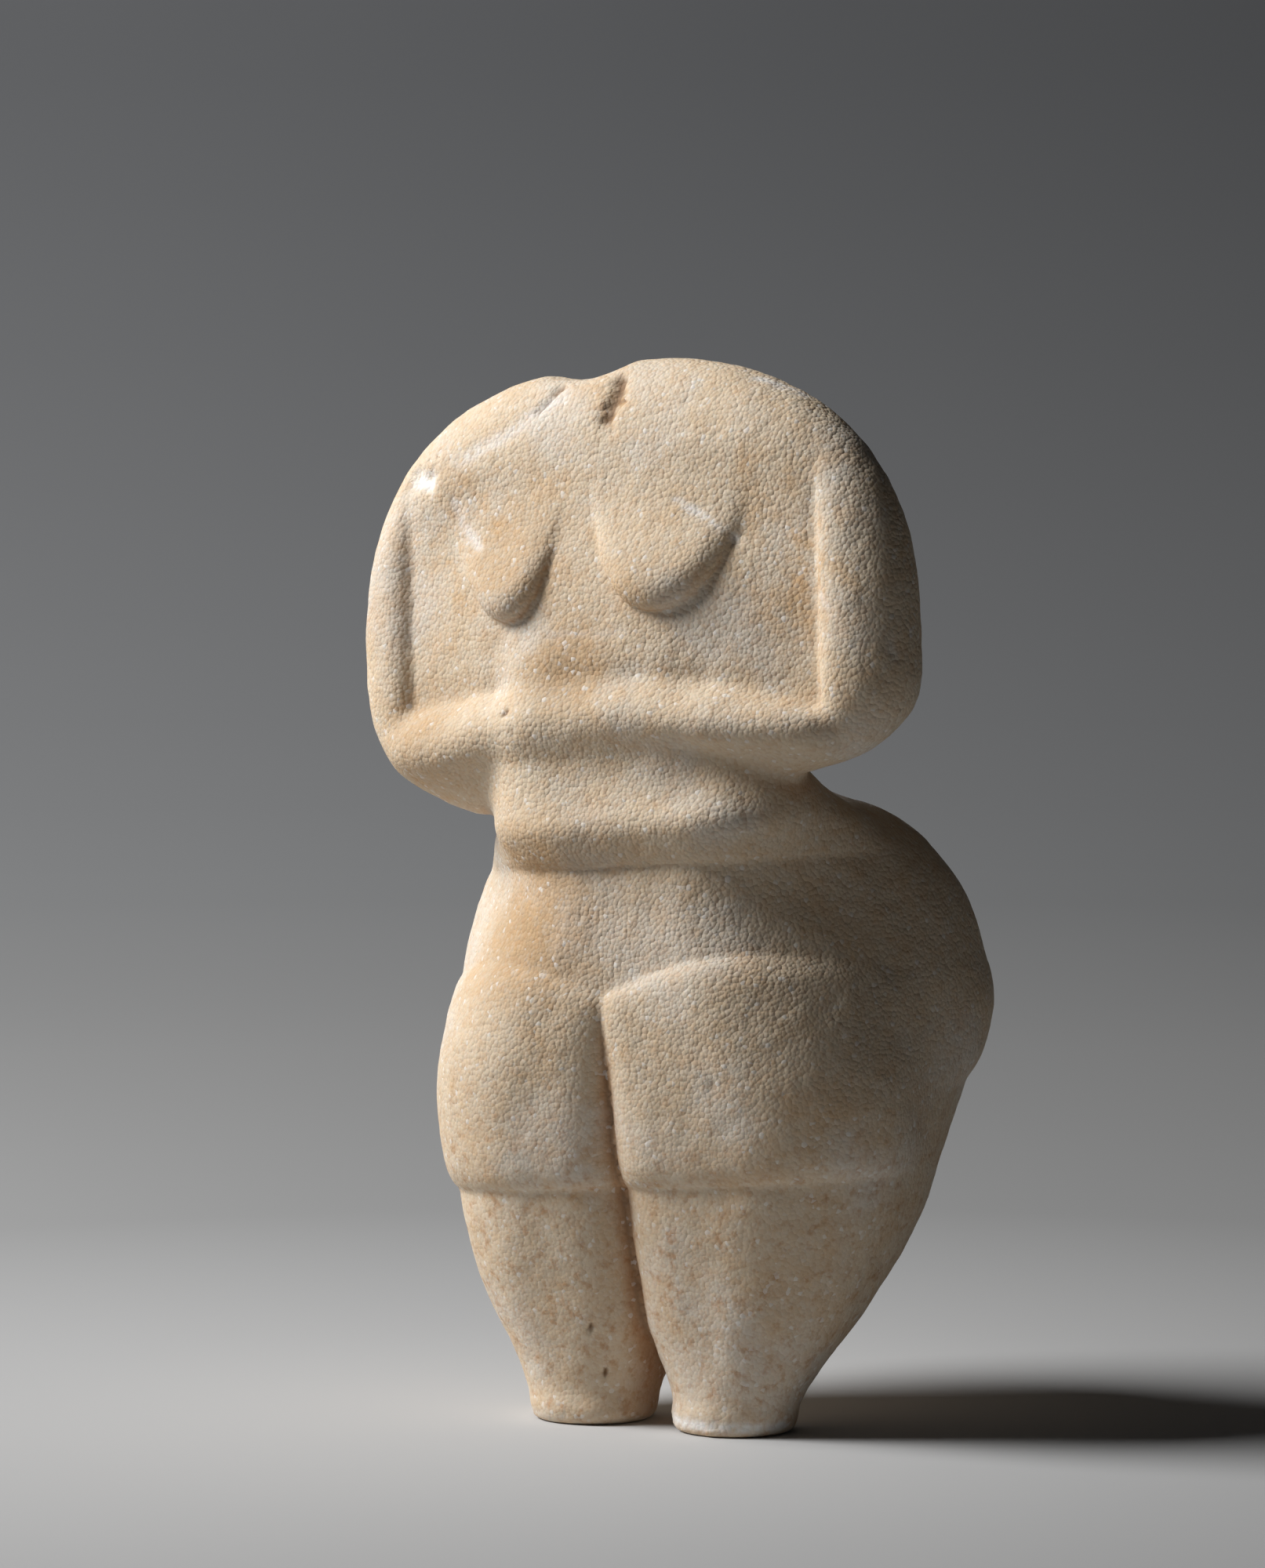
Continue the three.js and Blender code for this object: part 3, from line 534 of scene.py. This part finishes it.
points = read_points()
fresh, earth = np.zeros(len(points)), np.zeros(len(points))
for line, half_width, depth, white, brown in DAMAGE:
    gap = distance_to(pull(pull(np.array(line, float))), points)
    near = np.flatnonzero(gap < 3 * half_width)
    ragged = np.array([noise.noise(Vector(point) * 0.7) + 0.6 * noise.noise(Vector(point) * 1.9)
                       for point in points[near]])
    share = 1 - ramp(gap[near] * (1 + 0.7 * ragged), 0.15 * half_width, 1.35 * half_width)
    points[near] -= normals[near] * (depth * share)[:, None] * np.clip(points[near, 2:], 0, 1)
    patchy = np.clip(1 + 1.1 * ragged, 0, 1)
    fresh[near] = np.maximum(fresh[near], white * share * patchy)
    earth[near] = np.maximum(earth[near], brown * share)
write_points(points)
store("fresh", fresh)
store("earth", earth)
print("damaged points", int(((fresh > 0.1) | (earth > 0.1)).sum()))

# %% [markdown]
# Iron from the soil has stained her where she lay damp: her upper chest, the panel beside her left arm, under her
# right elbow and a few spots. Each stain is a ball whose strength fades outwards. The lower legs were rubbed
# smoother, and the soil has mottled them brown. Broad darker patches are laid in the same way: partly old dust,
# partly painted shade where the belly, breasts and elbow keep the light off, on the pelvis, below the breasts,
# under the ridge of the belly and on her right arm.

# %% Stains, painted shade and smooth legs
IRON_ALL_OVER = 0.3
IRON = (        # centre, radius, strength
    ((-36, -17, 178), 20, 0.7),      # upper chest, right
    ((-44, -12, 150), 14, 0.5),      # beside her right arm
    ((42, -14, 172), 20, 0.9),       # beside her left arm
    ((30, -18, 190), 16, 0.5),       # upper chest, left
    ((-3, -14, 205), 7, 0.9),        # below the neck
    ((-52, -8, 126), 12, 0.9),       # under the right elbow
    ((-20.6, -18.6, 38.9), 2.2, 1.0),    # shin
    ((49.5, 22.2, 55.5), 3.0, 1.0),      # left hip
    ((0, -20, 112), 8, 0.5),         # belly fold
)

# darker patches, partly dust, partly painted shade where the belly, breasts and elbow block the light
DUST_AND_SHADE_PATCHES = (       # centre, radius, strength
    ((-9, -18, 153), 16, 0.75),      # below the breasts
    ((-24, -22, 174), 20, 0.5),      # right breast
    ((8, -22, 168), 14, 0.35),       # left breast
    ((-17, -22, 103), 26, 0.8),      # pelvis, right
    ((10, -23, 103), 16, 0.3),       # pelvis, middle
    ((-3, -27, 119), 11, 0.5),       # ridge of the belly
    ((-46, -14, 138), 18, 0.5),      # right elbow
    ((-57, -10, 165), 18, 0.5),      # right arm
    ((36, -16, 162), 16, 0.35),      # beside the left breast
)


def spots(table, everywhere=0.0):
    strengths = np.full(len(points), everywhere)
    for centre, radius, strength in table:
        gap = np.linalg.norm(points - np.array(centre), axis=1)
        strengths = np.maximum(strengths, strength * (1 - ramp(gap, 0.2 * radius, 1.25 * radius)))
    return strengths


iron = spots(IRON, IRON_ALL_OVER)
legs = 1 - ramp(points[:, 2], 40, 92)
store("iron", iron)
store("dust_and_shade", spots(DUST_AND_SHADE_PATCHES))
store("legs", legs)
print("stained points", int((iron > 0.5).sum()))

# %% [markdown]
# Island marble is white calcite in crystals of nearly a millimetre. Out of the ground it is warm ivory: weather has
# loosened the crystals into a sugary, matte skin, and iron has stained it ochre. So the colour is built up in
# layers, as the stains were. Colours are picked as sRGB and turned to linear. One helper adds every node.

# %% Colours and a node helper
def linear(hex_colour):
    channels = [int(hex_colour[i:i + 2], 16) / 255 for i in (1, 3, 5)]
    return (*[c / 12.92 if c <= 0.04045 else ((c + 0.055) / 1.055) ** 2.4 for c in channels], 1)


IVORY = linear("#d9c6ac")
PALE = linear("#dcd6cd")
OCHRE = linear("#cfa777")
# rust in specks and crystals, and painted shade in hollows
RUST_AND_HOLLOW_SHADE = linear("#b07c4c")
# earth in old chips, and painted shade in creases
EARTH_AND_CREASE_SHADE = linear("#7a5838")
# dust, and painted shade on the pelvis, below the breasts and under the belly
DUST_AND_SHADE_TINT = linear("#b3946f")
# fresh marble in chips, and painted glints on crystals
WHITE = linear("#f0eeeb")


def add_node(tree, kind, links=(), values=(), **settings):
    node = tree.nodes.new(kind)
    for name, value in settings.items():
        setattr(node, name, value)
    for socket, value in dict(values).items():
        node.inputs[socket].default_value = value
    for socket, source in dict(links).items():
        tree.links.new(source, node.inputs[socket])
    return node


print("ivory is", [round(channel, 2) for channel in IVORY[:3]], "in linear light")

# %% [markdown]
# Patterns are laid out in millimetres: a Mapping node turns the metres of the Object coordinates into millimetres,
# and each noise is given the width of what it stands for. The crystals are Voronoi cells of 0.8 mm, coarse island
# marble at its real size, and each cell also gives a random number, so that some crystals are whiter than others
# and the brightest are painted white as glints of light off crystal faces.

# %% Patterns in the stone
CRYSTAL = 0.8       # millimetres, the loosened crystals
PATTERNS = (        # name, width in millimetres, detail, roughness
    ("clouding", 30.0, 2.0, 0.5),     # broad changes from warm to cool
    ("patches", 12.0, 3.0, 0.6),      # tints the size of a fingertip
    ("stains", 4.5, 4.0, 0.65),       # ochre spots
    ("mottling", 2.4, 3.0, 0.6),      # brown specks on the legs
    ("clusters", 1.7, 2.0, 0.6),      # small groups of crystals
)

marble = bpy.data.materials.new("weathered_island_marble")
marble.use_nodes = True
tree = marble.node_tree
tree.nodes.clear()
where = add_node(tree, "ShaderNodeTexCoord").outputs["Object"]
where = add_node(tree, "ShaderNodeMapping", {"Vector": where}, {"Scale": (1000, 1000, 1000)}).outputs["Vector"]
seen = {}
for name, width, detail, roughness in PATTERNS:
    pattern = add_node(tree, "ShaderNodeTexNoise", {"Vector": where},
                       {"Scale": 1 / width, "Detail": detail, "Roughness": roughness})
    seen[name] = pattern.outputs["Fac"]
crystals = add_node(tree, "ShaderNodeTexVoronoi", {"Vector": where}, {"Scale": 1 / CRYSTAL})
seen["crystal"] = crystals.outputs["Color"]
for name in ("hollow", "crease", "fresh", "earth", "iron", "dust_and_shade", "legs"):
    seen[name] = add_node(tree, "ShaderNodeAttribute", attribute_name=name).outputs["Fac"]
print("patterns and attributes:", ", ".join(seen))

# %% [markdown]
# Each layer is laid over the ones before it, as a tint that comes in where its pattern is strong. Some layers are
# held to their places by an attribute: ochre spots to the stained places, brown specks to the legs.

# %% Layers of colour
LAYERS = (      # pattern, where it starts and is full, strength, colour, held to its places by
    # dust and painted shade, where the patches lie
    ("dust_and_shade", 0.0, 1.0, 1.0, DUST_AND_SHADE_TINT, None),
    ("clouding", 0.48, 0.66, 0.5, PALE, None),
    ("patches", 0.5, 0.7, 0.3, OCHRE, None),
    ("stains", 0.42, 0.66, 0.85, OCHRE, "iron"),
    ("clusters", 0.52, 0.75, 0.25, OCHRE, None),
    ("mottling", 0.5, 0.72, 0.55, RUST_AND_HOLLOW_SHADE, "legs"),
    ("crystal", 0.58, 0.8, 0.15, PALE, None),
    ("crystal", 0.4, 0.2, 0.16, RUST_AND_HOLLOW_SHADE, None),
    # hollows and creases darken and warm: partly soil, partly painted shade
    ("hollow", 0.2, 0.9, 0.6, RUST_AND_HOLLOW_SHADE, None),
    ("crease", 0.35, 1.0, 0.45, EARTH_AND_CREASE_SHADE, None),
    # the brightest crystal cells turn white: painted glints of light, besides whiter crystals
    ("crystal", 0.85, 0.9, 0.4, WHITE, None),
    ("earth", 0.0, 1.0, 1.0, EARTH_AND_CREASE_SHADE, None),
    ("fresh", 0.0, 1.0, 1.0, WHITE, None),
)

base = add_node(tree, "ShaderNodeRGB")
base.outputs[0].default_value = IVORY
colour = base.outputs[0]
for name, start, full, strength, tint, held_by in LAYERS:
    amount = {"From Min": start, "From Max": full, "To Max": strength}
    share = add_node(tree, "ShaderNodeMapRange", {"Value": seen[name]}, amount,
                     interpolation_type="SMOOTHSTEP").outputs["Result"]
    if held_by:
        share = add_node(tree, "ShaderNodeMath", {0: share, 1: seen[held_by]}, operation="MULTIPLY").outputs["Value"]
    # Of the Mix node's sockets, 0 is the factor, and 6 and 7 are the two colours
    mixed = add_node(tree, "ShaderNodeMix", {0: share, 6: colour}, {7: tint}, data_type="RGBA")
    colour = mixed.outputs[2]
print("layers of colour:", len(LAYERS))

# %% [markdown]
# The grain is a bump. A crystal is a dome: highest in the middle of its cell and falling with the square of the
# distance. Groups of crystals stand out over it. The smooth legs have half the height.

# %% Grain
GRAIN_HEIGHT = 0.00018      # metres
GROUP_SHARE = 1.2

dome = add_node(tree, "ShaderNodeMath", {0: crystals.outputs["Distance"], 1: crystals.outputs["Distance"]},
                operation="MULTIPLY").outputs["Value"]
relief = add_node(tree, "ShaderNodeMath", {0: seen["clusters"], 2: dome}, {1: -GROUP_SHARE},
                  operation="MULTIPLY_ADD").outputs["Value"]
roughened = add_node(tree, "ShaderNodeMapRange", {"Value": seen["legs"]}, {"To Min": 1.0, "To Max": 0.5})
grain = add_node(tree, "ShaderNodeBump", {"Height": relief, "Strength": roughened.outputs["Result"]},
                 {"Distance": GRAIN_HEIGHT}, invert=True)
print("grain stands", round(GRAIN_HEIGHT * 1000, 2), "mm high")

# %% [markdown]
# The finish is weathered marble: matte, because the loosened crystals scatter light every way, with the refraction
# of calcite. A light glow under the surface is what makes marble look like marble and not like plaster, and it
# reddens where the light fades.

# %% Shader of the weathered marble
surface = add_node(tree, "ShaderNodeBsdfPrincipled", {"Base Color": colour, "Normal": grain.outputs["Normal"]}, {
    "Roughness": 0.82,
    "IOR": 1.55,
    "Specular IOR Level": 0.3,
    "Subsurface Weight": 0.15,
    "Subsurface Radius": (1.0, 0.6, 0.35),
    "Subsurface Scale": 0.0014,
})
add_node(tree, "ShaderNodeOutputMaterial", {"Surface": surface.outputs["BSDF"]})
figure.data.materials.clear()
figure.data.materials.append(marble)
print("marble has", len(tree.nodes), "nodes")

# %% [markdown]
# The figure stands for the plain solid: it rides where the solid does, and the solid is hidden.

# %% Fit the figure to the frame
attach(figure, "root")
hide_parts("figurine")
print("figure has", len(figure.data.polygons), "faces")

# %% [markdown]
# A studio sweep is paper that runs from the table up the wall in one curve, so no corner shows. Here the curve goes
# all the way round, so that she can be looked at from every side. It is spun from a profile.

# %% Sweep
FLOOR_RADIUS, CURVE_RADIUS, WALL_TOP = 1.5, 0.9, 3.2
CURVE_STEPS = 12

bpy.ops.object.select_all(action="DESELECT")
bpy.ops.mesh.primitive_circle_add(vertices=128, radius=FLOOR_RADIUS, fill_type="NOTHING", location=(0, 0, 0))
sweep = bpy.context.object
sweep.name = "studio_sweep"
turns = [np.pi / 2 * step / CURVE_STEPS for step in range(CURVE_STEPS + 1)]
edge = [(FLOOR_RADIUS + CURVE_RADIUS * np.sin(turn), CURVE_RADIUS * (1 - np.cos(turn))) for turn in turns]
edge.append((FLOOR_RADIUS + CURVE_RADIUS, WALL_TOP))
bpy.ops.object.mode_set(mode="EDIT")
for (radius, level), (next_radius, next_level) in zip(edge[:-1], edge[1:]):
    bpy.ops.mesh.extrude_edges_move(TRANSFORM_OT_translate={"value": (0, 0, next_level - level)})
    bpy.ops.transform.resize(value=(next_radius / radius, next_radius / radius, 1), center_override=(0, 0, 0))
bpy.ops.mesh.select_all(action="DESELECT")
bpy.ops.object.mode_set(mode="OBJECT")
for vertex in sweep.data.vertices:
    vertex.select = vertex.co.z < 1e-6
bpy.ops.object.mode_set(mode="EDIT")
bpy.ops.mesh.edge_face_add()
bpy.ops.mesh.select_all(action="SELECT")
bpy.ops.mesh.normals_make_consistent(inside=True)
bpy.ops.object.mode_set(mode="OBJECT")
bpy.ops.object.shade_smooth_by_angle(angle=np.radians(40))
print("sweep", len(sweep.data.polygons), "faces")

# %% [markdown]
# The paper is a pale grey at her feet and darkens towards the wall: graded paper, with the fall-off of the light
# across floor and wall painted into its shade too. Its shade follows the distance from the middle.

# %% Graded paper with painted fall-off of light
PAPER_REACH = 3.2       # metres from her feet to the darkest paper
# the paper's grade with the fall-off of the light painted in, dark far off
PAPER_AND_FALLOFF_SHADES = (        # share of that reach, shade
    (0.0, "#c4c4c4"),
    (0.045, "#b1b1b1"),
    (0.11, "#989898"),
    (0.25, "#949494"),
    (0.5, "#7c7d7e"),
    (0.72, "#4e4f51"),
    (1.0, "#1c1c1d"),
)

paper = bpy.data.materials.new("graded_paper_with_painted_falloff")
paper.use_nodes = True
tree = paper.node_tree
tree.nodes.clear()
where = add_node(tree, "ShaderNodeTexCoord").outputs["Object"]
away = add_node(tree, "ShaderNodeVectorMath", {0: where}, operation="LENGTH").outputs["Value"]
away = add_node(tree, "ShaderNodeMath", {0: away}, {1: PAPER_REACH}, operation="DIVIDE").outputs["Value"]
grade = add_node(tree, "ShaderNodeValToRGB", {"Fac": away})
stops = grade.color_ramp.elements
for position, shade in PAPER_AND_FALLOFF_SHADES[1:-1]:
    stops.new(position)
for stop, (position, shade) in zip(stops, PAPER_AND_FALLOFF_SHADES):
    stop.position = position
    stop.color = linear(shade)
sheet = add_node(tree, "ShaderNodeBsdfPrincipled", {"Base Color": grade.outputs["Color"]}, {"Roughness": 0.9})
add_node(tree, "ShaderNodeOutputMaterial", {"Surface": sheet.outputs["BSDF"]})
sweep.data.materials.append(paper)
print("paper has", len(PAPER_AND_FALLOFF_SHADES), "shades")

# %% [markdown]
# One soft box to her right and above, 90 degrees round from the camera, rakes over the carving and leaves her left
# side dark. Only the floor throws light back. A second soft lamp stands behind her, right opposite the camera, so
# that her back can be seen too. It lights the stone alone, and the floor keeps its single shadow. A third lamp, high
# up and far behind her, is turned outward and down and lights only the paper, so that none of it reaches her feet.

# %% Lights
OUTWARD_AND_DOWN = Vector((-0.82, 0.57, -1.0))


def soft_lamp(name, azimuth, elevation, distance, size, power, aim=(0, 0, 0.11)):
    turn, rise = np.radians(azimuth), np.radians(elevation)
    offset = Vector((np.sin(turn) * np.cos(rise), -np.cos(turn) * np.cos(rise), np.sin(rise)))
    rotation = (-offset).to_track_quat("-Z", "Y").to_euler()
    bpy.ops.object.light_add(type="AREA", location=Vector(aim) + distance * offset, rotation=rotation)
    lamp = bpy.context.object
    lamp.name = name
    lamp.data.shape = "DISK"
    lamp.data.size = size
    lamp.data.energy = power
    return lamp


key = soft_lamp("key", azimuth=-60, elevation=40, distance=1.2, size=0.6, power=21)
rear = soft_lamp("rear", azimuth=212, elevation=4, distance=1.3, size=0.3, power=5)
rear.visible_camera = False
backdrop = soft_lamp("backdrop", azimuth=235, elevation=43, distance=2.19, size=0.9, power=31)
backdrop.rotation_euler = OUTWARD_AND_DOWN.to_track_quat("-Z", "Y").to_euler()
for lamp, receiver in ((rear, figure), (backdrop, sweep)):
    only = bpy.data.collections.new(lamp.name + "_lights_only")
    only.objects.link(receiver)
    lamp.light_linking.receiver_collection = only

world = bpy.data.worlds.new("room")
bpy.context.scene.world = world
world.use_nodes = True
room = world.node_tree.nodes["Background"]
room.inputs["Color"].default_value = linear("#c8ccd4")
room.inputs["Strength"].default_value = 0.008
print("lamps", [(lamp.name, lamp.data.energy) for lamp in (key, rear, backdrop)], "in watts")
